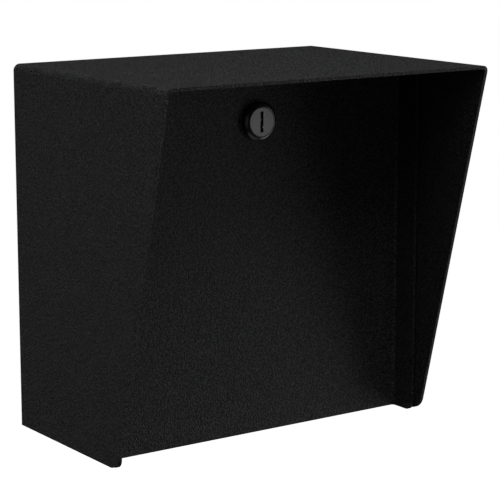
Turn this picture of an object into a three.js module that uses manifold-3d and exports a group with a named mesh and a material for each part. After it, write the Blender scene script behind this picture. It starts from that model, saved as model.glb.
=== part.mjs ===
// A wall-mounted steel lock box under a sloped hood, with a bottom-hinged door and a cam lock.
//
// Millimetres. +X is to the right seen from the front, the front faces -Y and +Z is up. The origin is
// the middle of the back face, which lies against the wall.

import * as THREE from "three";
import { mergeVertices } from "three/addons/utils/BufferGeometryUtils.js";
import Module from "manifold-3d";

const wasm = await Module();
wasm.setup();

// ---- Driving dimensions ----------------------------------------------------------------------

// Housing
const height = 203.2;
const width = 205.4;
const roofDepth = 154.7;
const sideDepth = 103.8; // depth of a side along its bottom edge
const sheet = 1.9;
const bendRadius = 3.8; // outside of every bend
const sideCornerRadius = 9.4;
const backFlange = 14;
const floorFlange = 14;
const mountHoleRadius = 3.3;
const mountHoleSpacing = 101.6;

// Door
const doorDepth = 84.2; // from the back face of the box to the front of the door
const doorDrop = 0.9; // how far the door reaches below the sides
const doorFlange = 16.4; // how far the side flanges stand forward of the door
const doorFlangeCorner = 5;
const doorSideGap = 1.2;
const doorTopGap = 2;
const stopLeg = 13;
const stopEndGap = 20; // from the floor's flanges and from the roof to a door stop's ends

// Piano hinge
const knuckleRadius = 2.4;
const knuckleCount = 13;
const knuckleEndGap = 0.4;
const hingePinRadius = 1.25;
const hingePinGap = 0.15;
const hingeLeaf = 1.2;
const hingeLeafWidth = 16; // from the hinge's axis to a leaf's far edge
const hingeInset = 10; // from the door's side edge to the hinge's end
const doorKnuckleGap = 0.6;
const floorKnuckleGap = 0.3;
const floorEdgeGap = 0.5;
const rivetCount = 5;
const rivetShankRadius = 1.6;
const rivetHeadRadius = 3.2;
const rivetHeadHeight = 1.2;
const rivetTailRadius = 2.5;
const rivetEndInset = 12;

// Cam lock
const lockDrop = 30.2; // of the lock's axis below the top of the box
const lockOffset = 0.8; // of the lock's axis to the right of the box's middle
const bezelRadius = 10.8;
const bezelRimRadius = 8.6;
const bezelHeight = 3.3;
const bezelEdge = 0.6;
const barrelRadius = 9.5;
const barrelFlat = 8; // from the axis to each of the barrel's two flats
const barrelLength = 16; // from the front of the door
const lugBoreRadius = 7;
const plugHeadRadius = 7.9;
const plugHeadDepth = 1.4;
const plugRadius = 6.3;
const plugTail = 6; // side of the square tail
const plugTailShort = 0.3; // how far the tail stops short of the cam's outer face
const keywayHeight = 11.4;
const keywayWidth = 1.8;
const keywayDepth = 12.4;
const wardRadius = 0.75;
const leftWardRise = 1.7; // of the left ward above the lock's axis
const rightWardDrop = 2.6; // of the right ward below it
const nutAcrossFlats = 24;
const nutThickness = 3.2;
const lockWasherRadius = 13;
const lockWasherThickness = 0.8;
const camReach = 25;
const camWidth = 15;
const camThickness = 2;
const camTurn = 90; // degrees
const stopWasherRadius = 6.6;
const stopWasherThickness = 1.2;
const stopTabRadius = 9.2;
const stopTabAngle = 30; // degrees
const stopTabPlay = 3; // degrees at each end of the cam's turn
const camScrewRadius = 1.7;
const camScrewLength = 8;
const camScrewHeadRadius = 4;
const camScrewHeadHeight = 2.4;
const screwSlotWidth = 1;
const screwSlotDepth = 1.2;

// Wafers inside the plug
const waferCount = 5;
const waferPitch = 2;
const waferSetback = 2.6; // from the plug's face to the middle of the first wafer
const waferThickness = 0.9;
const waferHalfWidth = 3.3;
const waferWindowHalfWidth = 1.3;
const waferWindowHalfHeight = 3.1;
const waferCodeStep = 0.5;
const springNotchDepth = 1.3;
const springNotchHalfHeight = 2.2;
const springShelfThickness = 0.6;
const springRadius = 0.42;
const springWire = 0.13;
const springTurns = 4;

// Keeper
const keeperWidth = 30;
const camCatch = 11.9; // how far the upright cam's tip reaches past the leg's lower edge
const keeperFoot = 12;
const keeperGap = 0.5;

// Fits
const fit = 0.3; // between a piece and another that is cut to it

// Flats along a bend, and around small and large circles
const bendSteps = 6;
const smallSteps = 16;
const roundSteps = 32;

// ---- Places worked out from the sizes ----------------------------------------------------------

const bottom = -height / 2;
const top = height / 2;
const floorTop = bottom + sheet;
const roofUnder = top - sheet;
const wallInside = width / 2 - sheet;
const cornerRelief = bendRadius + fit;

const doorFront = -doorDepth;
const doorBack = doorFront + sheet;
const doorHalf = wallInside - doorSideGap;
const doorBottom = bottom - doorDrop;
const doorTop = roofUnder - doorTopGap;

const hingeY = doorBack + knuckleRadius + doorKnuckleGap;
const hingeZ = floorTop + knuckleRadius + floorKnuckleGap;
const hingeHalf = doorHalf - hingeInset;
const floorFront = hingeY + (hingeZ - doorBottom) + floorEdgeGap;
const leafRoot = knuckleRadius + knuckleEndGap;
const leafTop = floorTop + hingeLeaf;

const lockZ = top - lockDrop;
const bezelFront = doorFront - bezelHeight;
const barrelBack = doorFront + barrelLength;
const plugShoulder = barrelBack + fit;
const camFront = plugShoulder + stopWasherThickness;
const camBack = camFront + camThickness;
const waferReach = plugRadius - fit;
const keeperLow = lockZ + camReach - camCatch;

const degree = Math.PI / 180;

// ---- Outlines ----------------------------------------------------------------------------------

// A polygon drawn counter-clockwise through [u, v, radius] corners; a corner without a radius is sharp.
function outline(corners) {
  const shape = new THREE.Shape();
  corners.forEach(([u, v, radius = 0], index) => {
    const corner = new THREE.Vector2(u, v);
    const before = corners[(index + corners.length - 1) % corners.length];
    const after = corners[(index + 1) % corners.length];
    const inward = new THREE.Vector2(u - before[0], v - before[1]).normalize();
    const outward = new THREE.Vector2(after[0] - u, after[1] - v).normalize();
    const turn = Math.atan2(inward.cross(outward), inward.dot(outward));
    if (radius === 0) {
      shape[index ? "lineTo" : "moveTo"](u, v);
      return;
    }
    const setback = radius * Math.tan(Math.abs(turn) / 2);
    const start = corner.clone().addScaledVector(inward, -setback);
    const side = Math.sign(turn);
    const centre = start.clone().add(new THREE.Vector2(-inward.y, inward.x).multiplyScalar(side * radius));
    const from = Math.atan2(start.y - centre.y, start.x - centre.x);
    shape[index ? "lineTo" : "moveTo"](start.x, start.y);
    shape.absarc(centre.x, centre.y, radius, from, from + turn, turn < 0);
  });
  shape.closePath();
  return shape;
}

// Sheet metal seen on edge. The points follow one face, and the sheet lies to the left of the way they run.
function bentSheet(points, thickness = sheet, outside = bendRadius) {
  const inside = outside - thickness;
  const near = [];
  const far = [];
  points.forEach(([u, v], index) => {
    const before = points[index - 1];
    const after = points[index + 1];
    const inward = before && new THREE.Vector2(u - before[0], v - before[1]).normalize();
    const outward = after && new THREE.Vector2(after[0] - u, after[1] - v).normalize();
    const first = inward ?? outward;
    const last = outward ?? inward;
    const normal = new THREE.Vector2(-first.y - last.y, first.x + last.x).normalize();
    const reach = thickness / normal.dot(new THREE.Vector2(-first.y, first.x));
    const bend = before && after ? Math.sign(first.cross(last)) : 0;
    near.push([u, v, bend > 0 ? outside : bend < 0 ? inside : 0]);
    far.unshift([u + normal.x * reach, v + normal.y * reach, bend > 0 ? inside : bend < 0 ? outside : 0]);
  });
  return outline([...near, ...far]);
}

function circle(radius, u = 0, v = 0) {
  const shape = new THREE.Shape();
  shape.absarc(u, v, radius, 0, 2 * Math.PI, false);
  return shape;
}

function square(halfSide) {
  const near = -halfSide;
  return outline([[near, near], [halfSide, near], [halfSide, halfSide], [near, halfSide]]);
}

// A circle with a flat on its left and right.
function doubleFlat(radius, flat, u = 0, v = 0) {
  const angle = Math.acos(flat / radius);
  const shape = new THREE.Shape();
  shape.absarc(u, v, radius, angle, Math.PI - angle, false);
  shape.absarc(u, v, radius, Math.PI + angle, 2 * Math.PI - angle, false);
  shape.closePath();
  return shape;
}

// A slice of a disc between two angles, in degrees.
function slice(radius, from, to) {
  const shape = new THREE.Shape();
  shape.moveTo(0, 0);
  shape.lineTo(radius * Math.cos(from * degree), radius * Math.sin(from * degree));
  shape.absarc(0, 0, radius, from * degree, to * degree, false);
  shape.closePath();
  return shape;
}

// ---- Solids ------------------------------------------------------------------------------------

// A closed geometry as a solid that can be joined and cut.
function solid(geometry) {
  const bare = geometry.index ? geometry.toNonIndexed() : geometry.clone();
  bare.deleteAttribute("normal");
  bare.deleteAttribute("uv");
  const merged = mergeVertices(bare);
  const vertProperties = merged.getAttribute("position").array;
  const triVerts = new Uint32Array(merged.index.array);
  return new wasm.Manifold(new wasm.Mesh({ numProp: 3, vertProperties, triVerts }));
}

const alongX = new THREE.Vector3(1, 0, 0);
const alongY = new THREE.Vector3(0, 1, 0);
const alongZ = new THREE.Vector3(0, 0, 1);

// ExtrudeGeometry lays two flats along an arc for each of its curve segments.
function pushed(shape, depth, basis, start, steps) {
  const curveSegments = steps / 2;
  const geometry = new THREE.ExtrudeGeometry(shape, { depth, bevelEnabled: false, curveSegments });
  geometry.applyMatrix4(new THREE.Matrix4().makeBasis(...basis));
  geometry.translate(start.x, start.y, start.z);
  return solid(geometry);
}

// A (Y, Z) outline filled from one X to a larger one.
function acrossX(shape, left, right, steps = bendSteps) {
  return pushed(shape, right - left, [alongY, alongZ, alongX], new THREE.Vector3(left, 0, 0), steps);
}

// An (X, Z) outline filled from one Y forward to a smaller one.
function forwardY(shape, back, front, steps = bendSteps) {
  const basis = [alongX, alongZ, alongY.clone().negate()];
  return pushed(shape, back - front, basis, new THREE.Vector3(0, back, 0), steps);
}

// An (X, Y) outline filled from one Z up to a larger one.
function upZ(shape, low, high, steps = bendSteps) {
  return pushed(shape, high - low, [alongX, alongY, alongZ], new THREE.Vector3(0, 0, low), steps);
}

// A block between two values each of X, Y and Z, with its faces exactly on them.
function block(x, y, z) {
  const geometry = new THREE.BoxGeometry(2, 2, 2);
  const corners = geometry.getAttribute("position");
  const place = (range, sign) => (sign < 0 ? range[0] : range[1]);
  for (let index = 0; index < corners.count; index += 1) {
    const [i, j, k] = [corners.getX(index), corners.getY(index), corners.getZ(index)];
    corners.setXYZ(index, place(x, i), place(y, j), place(z, k));
  }
  return solid(geometry);
}

// A [radius, Y] profile turned about the Y axis; Y grows along the profile's outer side.
function turned(profile) {
  const points = profile.map(([radius, y]) => new THREE.Vector2(radius, y));
  return solid(new THREE.LatheGeometry(points, roundSteps));
}

// A round bar on the Y axis.
function lockBar(radius, front, back) {
  return turned([[0, front], [radius, front], [radius, back], [0, back]]);
}

// ---- Finishes ----------------------------------------------------------------------------------

function finish(color, roughness, metalness) {
  return new THREE.MeshStandardMaterial({ color, roughness, metalness });
}

const powderCoat = () => finish(0x1b1b1c, 0.75, 0);
const zincPlate = () => finish(0x9a9da0, 0.4, 0.9);
const blackChrome = () => finish(0x2a2a2b, 0.25, 0.8);
const satinNickel = () => finish(0xa6a6a6, 0.42, 0.9);
const brass = () => finish(0xb08d4a, 0.35, 0.9);
const springSteel = () => finish(0x8a8c90, 0.35, 0.9);

const box = new THREE.Group();

function add(name, body, material, parent = box) {
  const data = body.getMesh();
  const geometry = new THREE.BufferGeometry();
  geometry.setAttribute("position", new THREE.BufferAttribute(data.vertProperties, 3));
  geometry.setIndex(new THREE.BufferAttribute(data.triVerts, 1));
  const mesh = new THREE.Mesh(geometry, material);
  mesh.name = name;
  parent.add(mesh);
  return mesh;
}

// ---- Housing -----------------------------------------------------------------------------------

// Roof and both sides are one sheet, bent twice. The sides' front edges run down and back from the roof.
function hoodShell() {
  const half = width / 2;
  const bent = bentSheet([[half, bottom], [half, top], [-half, top], [-half, bottom]]);
  const side = outline([
    [0, bottom],
    [0, top],
    [-roofDepth, top],
    [-sideDepth, bottom, sideCornerRadius],
  ]);
  return forwardY(bent, 0, -roofDepth).intersect(acrossX(side, -half, half));
}

// A pan whose four flanges point forward, with an open notch at each corner.
function backPlate() {
  const edge = -backFlange;
  const across = bentSheet([[wallInside, edge], [wallInside, 0], [-wallInside, 0], [-wallInside, edge]]);
  const upright = bentSheet([[edge, floorTop], [0, floorTop], [0, roofUnder], [edge, roofUnder]]);
  const reach = wallInside - cornerRelief;
  const middle = upZ(across, floorTop + cornerRelief, roofUnder - cornerRelief);
  let pan = middle.add(acrossX(upright, -reach, reach));
  const half = mountHoleSpacing / 2;
  for (const x of [-half, half]) {
    for (const z of [-half, half]) {
      pan = pan.subtract(forwardY(circle(mountHoleRadius, x, z), sheet, -2 * sheet, roundSteps));
    }
  }
  return pan;
}

// The floor stops short of the door, so that the door's lower edge can swing in under the hinge.
function floorPlate() {
  const reach = wallInside - bendRadius;
  const plate = block([-reach, reach], [floorFront, 0], [bottom, floorTop]);
  const rise = bottom + floorFlange;
  const across = [[-wallInside, rise], [-wallInside, bottom], [wallInside, bottom], [wallInside, rise]];
  const folded = forwardY(bentSheet(across), -backFlange - fit, floorFront);
  return rivetPlaces().reduce((body, x) => body.subtract(rivetHole(x)), plate.add(folded));
}

// An angle on each side wall that the door's back closes against.
function doorStop(side) {
  const wall = side * wallInside;
  const front = doorBack + fit;
  const points = [[wall, front + stopLeg], [wall, front], [wall - side * stopLeg, front]];
  const shape = bentSheet(side < 0 ? points : points.reverse());
  return upZ(shape, bottom + floorFlange + stopEndGap, roofUnder - stopEndGap);
}

// An angle under the roof whose leg hangs just in front of the cam when the cam points up.
function keeperBracket() {
  const legBack = camFront - keeperGap;
  const front = legBack - keeperFoot;
  const shape = bentSheet([[legBack, keeperLow], [legBack, roofUnder], [front, roofUnder]]);
  return acrossX(shape, lockOffset - keeperWidth / 2, lockOffset + keeperWidth / 2);
}

// ---- Door --------------------------------------------------------------------------------------

// One sheet with a flange turned forward along each side.
function doorPanel() {
  const front = doorFront - doorFlange;
  const across = [[doorHalf, front], [doorHalf, doorBack], [-doorHalf, doorBack], [-doorHalf, front]];
  const side = outline([
    [doorBack, doorBottom],
    [doorBack, doorTop],
    [front, doorTop, doorFlangeCorner],
    [front, doorBottom, doorFlangeCorner],
  ]);
  const hole = doubleFlat(barrelRadius + fit, barrelFlat + fit, lockOffset, lockZ);
  return upZ(bentSheet(across), doorBottom, doorTop)
    .intersect(acrossX(side, -doorHalf, doorHalf))
    .subtract(forwardY(hole, doorBack + sheet, doorFront - sheet, roundSteps));
}

// ---- Hinge -------------------------------------------------------------------------------------

// A flat plate that carries every second knuckle, counted from the given one. Its tongues join the plate to
// its knuckles. Plate and tongues are given as [Y range, Z range].
function hingeLeafBody(firstKnuckle, plate, tongue) {
  const pitch = (2 * hingeHalf) / knuckleCount;
  let leaf = block([-hingeHalf, hingeHalf], ...plate);
  for (let index = firstKnuckle; index < knuckleCount; index += 2) {
    const ends = [index, index + 1].map((end) => -hingeHalf + end * pitch);
    const left = ends[0] + (index > 0 ? knuckleEndGap / 2 : 0);
    const right = ends[1] - (index + 1 < knuckleCount ? knuckleEndGap / 2 : 0);
    const roll = acrossX(circle(knuckleRadius, hingeY, hingeZ), left, right, smallSteps);
    leaf = leaf.add(block([left, right], ...tongue)).add(roll);
  }
  const bore = circle(hingePinRadius + hingePinGap, hingeY, hingeZ);
  return leaf.subtract(acrossX(bore, -width / 2, width / 2, smallSteps));
}

function floorLeaf() {
  const thick = [floorTop, leafTop];
  const plate = [[hingeY + leafRoot, hingeY + hingeLeafWidth], thick];
  const leaf = hingeLeafBody(0, plate, [[hingeY, hingeY + leafRoot + hingeLeaf], thick]);
  return rivetPlaces().reduce((body, x) => body.subtract(rivetHole(x)), leaf);
}

function doorLeaf() {
  const thick = [doorBack, doorBack + hingeLeaf];
  const plate = [thick, [hingeZ + leafRoot, hingeZ + hingeLeafWidth]];
  return hingeLeafBody(1, plate, [thick, [hingeZ, hingeZ + leafRoot + hingeLeaf]]);
}

function hingePin() {
  return acrossX(circle(hingePinRadius, hingeY, hingeZ), -hingeHalf, hingeHalf, smallSteps);
}

function rivetPlaces() {
  const reach = hingeHalf - rivetEndInset;
  return Array.from({ length: rivetCount }, (_, index) => -reach + (2 * reach * index) / (rivetCount - 1));
}

const rivetY = (floorFront + hingeY + hingeLeafWidth) / 2;

function rivetProfile(gap) {
  return [
    [0, bottom],
    [rivetTailRadius + gap, bottom],
    [rivetShankRadius + gap, bottom + sheet / 2],
    [rivetShankRadius + gap, leafTop],
  ];
}

// A profile turned about an upright axis through the given X and the line of rivets.
function upright(profile, x) {
  const points = profile.map(([radius, z]) => new THREE.Vector2(radius, z));
  const geometry = new THREE.LatheGeometry(points, smallSteps);
  geometry.rotateX(Math.PI / 2);
  geometry.translate(x, rivetY, 0);
  return solid(geometry);
}

function rivetHole(x) {
  return upright([...rivetProfile(fit), [0, leafTop]], x);
}

function rivet(x) {
  const dome = [
    [rivetHeadRadius, leafTop],
    [rivetHeadRadius * 0.8, leafTop + rivetHeadHeight * 0.7],
    [rivetHeadRadius * 0.4, leafTop + rivetHeadHeight],
    [0, leafTop + rivetHeadHeight],
  ];
  return upright([...rivetProfile(0), ...dome], x);
}

// ---- Lock --------------------------------------------------------------------------------------

// The lock's pieces are drawn about the Y axis, at their real depth, and their group moves them into place.

// Where the washer's tab points at rest, and the free arc that the body's lug leaves for its turn.
const tabEnd = stopTabAngle / 2;
const freeFrom = -camTurn - tabEnd - stopTabPlay;
const freeTo = tabEnd + stopTabPlay;

function lockBody() {
  const crown = new THREE.Path();
  const reach = bezelRadius - bezelRimRadius;
  const rise = bezelHeight - bezelEdge;
  crown.absellipse(bezelRimRadius, doorFront - bezelEdge, reach, rise, -Math.PI / 2, 0, false);
  const side = crown.getPoints(bendSteps / 2).map(({ x, y }) => [x, y]);
  const bezel = turned([[0, bezelFront], ...side, [bezelRadius, doorFront], [0, doorFront]]);
  const flats = doubleFlat(barrelRadius, barrelFlat);
  const barrel = forwardY(flats, camFront, doorFront - bezelEdge, roundSteps);
  const sweep = slice(2 * barrelRadius, freeFrom, freeTo);
  const channelTop = (plugRadius + barrelRadius) / 2;
  const channelHalf = waferHalfWidth + fit;
  const channel = [waferY(0) - waferPitch / 2, waferY(waferCount)];
  return bezel
    .add(barrel)
    .subtract(lockBar(plugRadius + fit, bezelFront - sheet, camFront + sheet))
    .subtract(lockBar(plugHeadRadius + fit, bezelFront - sheet, bezelFront + plugHeadDepth + fit))
    .subtract(lockBar(lugBoreRadius, barrelBack, camFront + sheet))
    .subtract(forwardY(sweep, camFront + sheet, barrelBack, roundSteps))
    .subtract(block([-channelHalf, channelHalf], channel, [-channelTop, channelTop]));
}

function lockWasher() {
  const ring = circle(lockWasherRadius);
  ring.holes.push(circle(barrelRadius + fit));
  return forwardY(ring, doorBack + lockWasherThickness, doorBack, roundSteps);
}

function lockNut() {
  const corner = nutAcrossFlats / Math.sqrt(3);
  const points = Array.from({ length: 6 }, (_, index) => {
    const angle = index * 60 * degree;
    return [corner * Math.cos(angle), corner * Math.sin(angle)];
  });
  const hex = outline(points);
  hex.holes.push(circle(barrelRadius + fit));
  const front = doorBack + lockWasherThickness;
  return forwardY(hex, front + nutThickness, front, roundSteps);
}

function waferY(index) {
  return bezelFront + waferSetback + index * waferPitch;
}

// Springs stand on the right of one wafer and on the left of the next.
function springSide(index) {
  return index % 2 ? -1 : 1;
}

// An upright slot whose left edge carries a ward above the middle, and whose right edge carries one below.
function keyway() {
  const half = keywayHeight / 2;
  const edge = keywayWidth / 2;
  const slot = new THREE.Shape();
  slot.moveTo(-edge, -half);
  slot.lineTo(edge, -half);
  slot.absarc(edge, -rightWardDrop, wardRadius, -Math.PI / 2, Math.PI / 2, true);
  slot.lineTo(edge, half);
  slot.lineTo(-edge, half);
  slot.absarc(-edge, leftWardRise, wardRadius, Math.PI / 2, -Math.PI / 2, true);
  slot.closePath();
  return slot;
}

function sorted(a, b) {
  return [Math.min(a, b), Math.max(a, b)];
}

function lockPlug() {
  let plug = lockBar(plugHeadRadius, bezelFront, bezelFront + plugHeadDepth)
    .add(lockBar(plugRadius, bezelFront + plugHeadDepth / 2, plugShoulder))
    .add(forwardY(square(plugTail / 2), camBack - plugTailShort, barrelBack))
    .subtract(forwardY(keyway(), bezelFront + keywayDepth, bezelFront - sheet))
    .subtract(lockBar(camScrewRadius + fit, camBack - camScrewLength - fit, camBack + sheet));
  const half = waferHalfWidth + fit;
  for (let index = 0; index < waferCount; index += 1) {
    const depth = waferThickness / 2 + fit;
    const along = [waferY(index) - depth, waferY(index) + depth];
    const side = springSide(index);
    const shelfX = sorted(side * (waferHalfWidth - springNotchDepth + fit), side * (half + fit));
    const shelfZ = fit - springNotchHalfHeight;
    const shelf = block(shelfX, along, [shelfZ, shelfZ + springShelfThickness]);
    const slot = block([-half, half], along, [-2 * plugRadius, 2 * plugRadius]);
    plug = plug.subtract(slot.subtract(shelf));
  }
  return plug;
}

// A flat plate with a window for the key and a notch for its spring.
function wafer(index) {
  const y = waferY(index);
  const along = [y - waferThickness / 2, y + waferThickness / 2];
  const code = waferCodeStep * ((index % 3) - 1);
  const side = springSide(index);
  const notchX = sorted(side * (waferHalfWidth - springNotchDepth), side * 2 * waferHalfWidth);
  const window = waferWindowHalfHeight;
  return lockBar(waferReach, ...along)
    .intersect(block([-waferHalfWidth, waferHalfWidth], along, [-plugRadius, plugRadius]))
    .subtract(block([-waferWindowHalfWidth, waferWindowHalfWidth],
      [along[0] - fit, along[1] + fit], [code - window, code + window]))
    .subtract(block(notchX, [along[0] - fit, along[1] + fit],
      [-springNotchHalfHeight, springNotchHalfHeight]));
}

// A coil that stands on the plug's shelf and lifts the top of its wafer's notch.
function waferSpring(index) {
  const middle = springSide(index) * (waferHalfWidth - springNotchDepth / 2 + fit);
  const low = fit - springNotchHalfHeight + springShelfThickness + springWire + fit / 3;
  const high = springNotchHalfHeight - springWire - fit / 3;
  class Helix extends THREE.Curve {
    getPoint(t, target = new THREE.Vector3()) {
      const angle = t * springTurns * 2 * Math.PI;
      const x = middle + springRadius * Math.cos(angle);
      const y = waferY(index) + springRadius * Math.sin(angle);
      return target.set(x, y, low + t * (high - low));
    }
  }
  const wire = circle(springWire);
  const steps = springTurns * 9;
  return solid(new THREE.ExtrudeGeometry(wire, { steps, extrudePath: new Helix(), curveSegments: 3 }));
}

function stopWasher() {
  const shape = new THREE.Shape();
  shape.absarc(0, 0, stopTabRadius, -tabEnd * degree, tabEnd * degree, false);
  shape.absarc(0, 0, stopWasherRadius, tabEnd * degree, (360 - tabEnd) * degree, false);
  shape.closePath();
  shape.holes.push(square(plugTail / 2 + fit));
  return forwardY(shape, camFront, plugShoulder, roundSteps);
}

// The cam lies to the left at rest and points up when the key is turned.
function lockCam() {
  const half = camWidth / 2;
  const shape = outline([
    [-camReach, -half, half / 2],
    [half, -half, half * 0.8],
    [half, half, half * 0.8],
    [-camReach, half, half / 2],
  ]);
  shape.holes.push(square(plugTail / 2 + fit));
  return forwardY(shape, camBack, camFront);
}

function camScrew() {
  const slot = [camBack + camScrewHeadHeight - screwSlotDepth, camBack + camScrewHeadHeight + sheet];
  const across = [-screwSlotWidth / 2, screwSlotWidth / 2];
  return lockBar(camScrewRadius, camBack - camScrewLength, camBack + camScrewHeadHeight / 2)
    .add(lockBar(camScrewHeadRadius, camBack, camBack + camScrewHeadHeight))
    .subtract(block([-2 * camScrewHeadRadius, 2 * camScrewHeadRadius], slot, across));
}

// ---- The box -----------------------------------------------------------------------------------

add("hood_shell", hoodShell(), powderCoat());
add("back_plate", backPlate(), powderCoat());
add("floor_plate", floorPlate(), powderCoat());
add("keeper_bracket", keeperBracket(), powderCoat());
add("door_stop_left", doorStop(-1), powderCoat());
add("door_stop_right", doorStop(1), powderCoat());

add("door_panel", doorPanel(), powderCoat());

add("hinge_floor_leaf", floorLeaf(), powderCoat());
add("hinge_door_leaf", doorLeaf(), powderCoat());
add("hinge_pin", hingePin(), zincPlate());
rivetPlaces().forEach((x, index) => add(`hinge_rivet_${index + 1}`, rivet(x), zincPlate()));

const lock = new THREE.Group();
lock.position.set(lockOffset, 0, lockZ);
box.add(lock);
add("lock_body", lockBody(), blackChrome(), lock);
add("lock_washer", lockWasher(), zincPlate(), lock);
add("lock_nut", lockNut(), zincPlate(), lock);
add("lock_plug", lockPlug(), satinNickel(), lock);
for (let index = 0; index < waferCount; index += 1) {
  add(`lock_wafer_${index + 1}`, wafer(index), brass(), lock);
  add(`wafer_spring_${index + 1}`, waferSpring(index), springSteel(), lock);
}
add("cam_stop_washer", stopWasher(), zincPlate(), lock);
add("lock_cam", lockCam(), zincPlate(), lock);
add("cam_screw", camScrew(), zincPlate(), lock);

export default box;
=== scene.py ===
"""A wall-mounted steel lock box under a sloped hood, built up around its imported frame.

Everything is in metres. +X is to the right seen from the front, the front faces -Y and +Z is up.
Each operator makes one piece or one group of like pieces, and the panel in the 3D view's sidebar
lists them.
"""

from contextlib import contextmanager
from math import acos, atan2, cos, hypot, pi, radians, sin, sqrt, tan

import bmesh
import bpy
from bpy.props import FloatProperty, FloatVectorProperty, IntProperty, PointerProperty
from mathutils import Matrix, Vector


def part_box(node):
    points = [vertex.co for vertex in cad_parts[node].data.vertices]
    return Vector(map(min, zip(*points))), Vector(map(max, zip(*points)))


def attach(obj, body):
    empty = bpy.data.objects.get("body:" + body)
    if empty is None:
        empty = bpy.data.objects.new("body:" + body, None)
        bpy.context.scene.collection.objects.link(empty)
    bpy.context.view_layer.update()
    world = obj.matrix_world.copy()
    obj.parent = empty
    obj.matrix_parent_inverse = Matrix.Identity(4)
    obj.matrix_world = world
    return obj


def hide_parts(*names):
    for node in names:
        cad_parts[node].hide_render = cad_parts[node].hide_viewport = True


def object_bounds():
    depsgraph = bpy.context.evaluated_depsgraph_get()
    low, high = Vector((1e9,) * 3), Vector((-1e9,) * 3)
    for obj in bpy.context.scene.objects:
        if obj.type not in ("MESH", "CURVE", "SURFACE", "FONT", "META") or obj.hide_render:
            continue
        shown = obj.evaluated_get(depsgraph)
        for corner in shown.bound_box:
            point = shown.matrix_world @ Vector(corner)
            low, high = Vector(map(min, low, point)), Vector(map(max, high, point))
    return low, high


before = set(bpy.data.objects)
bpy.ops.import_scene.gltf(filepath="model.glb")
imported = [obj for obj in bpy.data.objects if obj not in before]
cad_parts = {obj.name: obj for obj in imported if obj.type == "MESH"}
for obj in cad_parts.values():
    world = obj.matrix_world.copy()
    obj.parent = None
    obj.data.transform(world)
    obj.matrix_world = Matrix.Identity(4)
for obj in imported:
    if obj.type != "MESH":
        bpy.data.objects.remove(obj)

bl_info = {
    "name": "Hooded lock box",
    "version": (1, 0, 0),
    "blender": (4, 5, 0),
    "location": "3D View > Sidebar > Lock box",
    "description": "Makes a steel lock box with a recessed door, a piano hinge and a cam lock",
    "category": "Add Mesh",
}

CAD_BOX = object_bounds()

MM = 0.001
HOUSING = "housing"
DOOR = "door"
KEY_PLUG = "key_plug"

# ---- Places read from the frame ----

HOOD_LOW, HOOD_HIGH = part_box("hood_shell")
PANEL_LOW, PANEL_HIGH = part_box("door_panel")
BACK_LOW, BACK_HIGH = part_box("back_plate")
FLOOR_LOW, FLOOR_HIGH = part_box("floor_plate")
PIN_LOW, PIN_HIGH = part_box("hinge_pin")
FLOOR_LEAF_LOW, FLOOR_LEAF_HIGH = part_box("hinge_floor_leaf")
DOOR_LEAF_LOW, DOOR_LEAF_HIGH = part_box("hinge_door_leaf")
LOCK_LOW, LOCK_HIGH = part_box("lock_body")
PLUG_LOW, PLUG_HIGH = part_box("lock_plug")
NUT_LOW, NUT_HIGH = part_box("lock_nut")
CAM_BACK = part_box("lock_cam")[1].y
SCREW_LOW, SCREW_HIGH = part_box("cam_screw")
RIVETS = sorted(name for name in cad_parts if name.startswith("hinge_rivet"))
WAFERS = sorted(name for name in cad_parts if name.startswith("lock_wafer"))
SPRINGS = sorted(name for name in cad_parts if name.startswith("wafer_spring"))

PIN_Y = (PIN_LOW.y + PIN_HIGH.y) / 2
PIN_Z = (PIN_LOW.z + PIN_HIGH.z) / 2
KNUCKLE_RADIUS = PIN_Y - FLOOR_LEAF_LOW.y
LOCK_X = (LOCK_LOW.x + LOCK_HIGH.x) / 2
LOCK_Z = (LOCK_LOW.z + LOCK_HIGH.z) / 2
LOCK_AXIS = (LOCK_X, 0, LOCK_Z)
LOCK_FRONT = LOCK_LOW.y
BEZEL_RADIUS = (LOCK_HIGH.x - LOCK_LOW.x) / 2
PLUG_RADIUS = (PLUG_HIGH.x - PLUG_LOW.x) / 2
DOOR_BACK = PANEL_HIGH.y


# ---- Properties ----

def length(name, description, default):
    return FloatProperty(
        name=name, description=description, default=default, unit="LENGTH", precision=5
    )


def angle(name, description, degrees):
    return FloatProperty(
        name=name, description=description, default=radians(degrees), subtype="ANGLE"
    )


def colour(name, description, default):
    return FloatVectorProperty(
        name=name, description=description, default=default, subtype="COLOR", size=3, min=0, max=1
    )


class SheetSizes(bpy.types.PropertyGroup):
    """Sizes of the bent sheets."""

    thickness: length("Sheet", "Thickness of the hood and the door", 1.9 * MM)
    bend: length("Bend radius", "Outside radius of every bend", 3.8 * MM)
    foot: length("Side depth", "Depth of a side of the hood along its bottom edge", 103.8 * MM)
    foot_corner: length("Side corner", "Radius at the front of a side's bottom edge", 9.4 * MM)
    flange_corner: length("Flange corner", "Radius at the ends of the door's flanges", 5 * MM)
    edge: length("Edge", "Radius that the coat leaves on a cut edge", 0.35 * MM)
    weld: length("Weld mark", "Radius of a spot weld's mark", 2.6 * MM)


class HingeSizes(bpy.types.PropertyGroup):
    """Sizes of the piano hinge."""

    knuckles: IntProperty(name="Knuckles", description="Number on both leaves together", default=13)
    knuckle_gap: length("Knuckle gap", "Gap between two knuckles", 0.4 * MM)
    leaf: length("Leaf", "Thickness of a hinge leaf", 1.2 * MM)
    wall: length("Knuckle wall", "Wall of a rolled knuckle", 0.95 * MM)
    shank: length("Rivet shank", "Radius of a rivet's shank", 1.6 * MM)
    tail: length("Rivet tail", "Radius of a rivet's countersunk end", 2.5 * MM)


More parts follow.
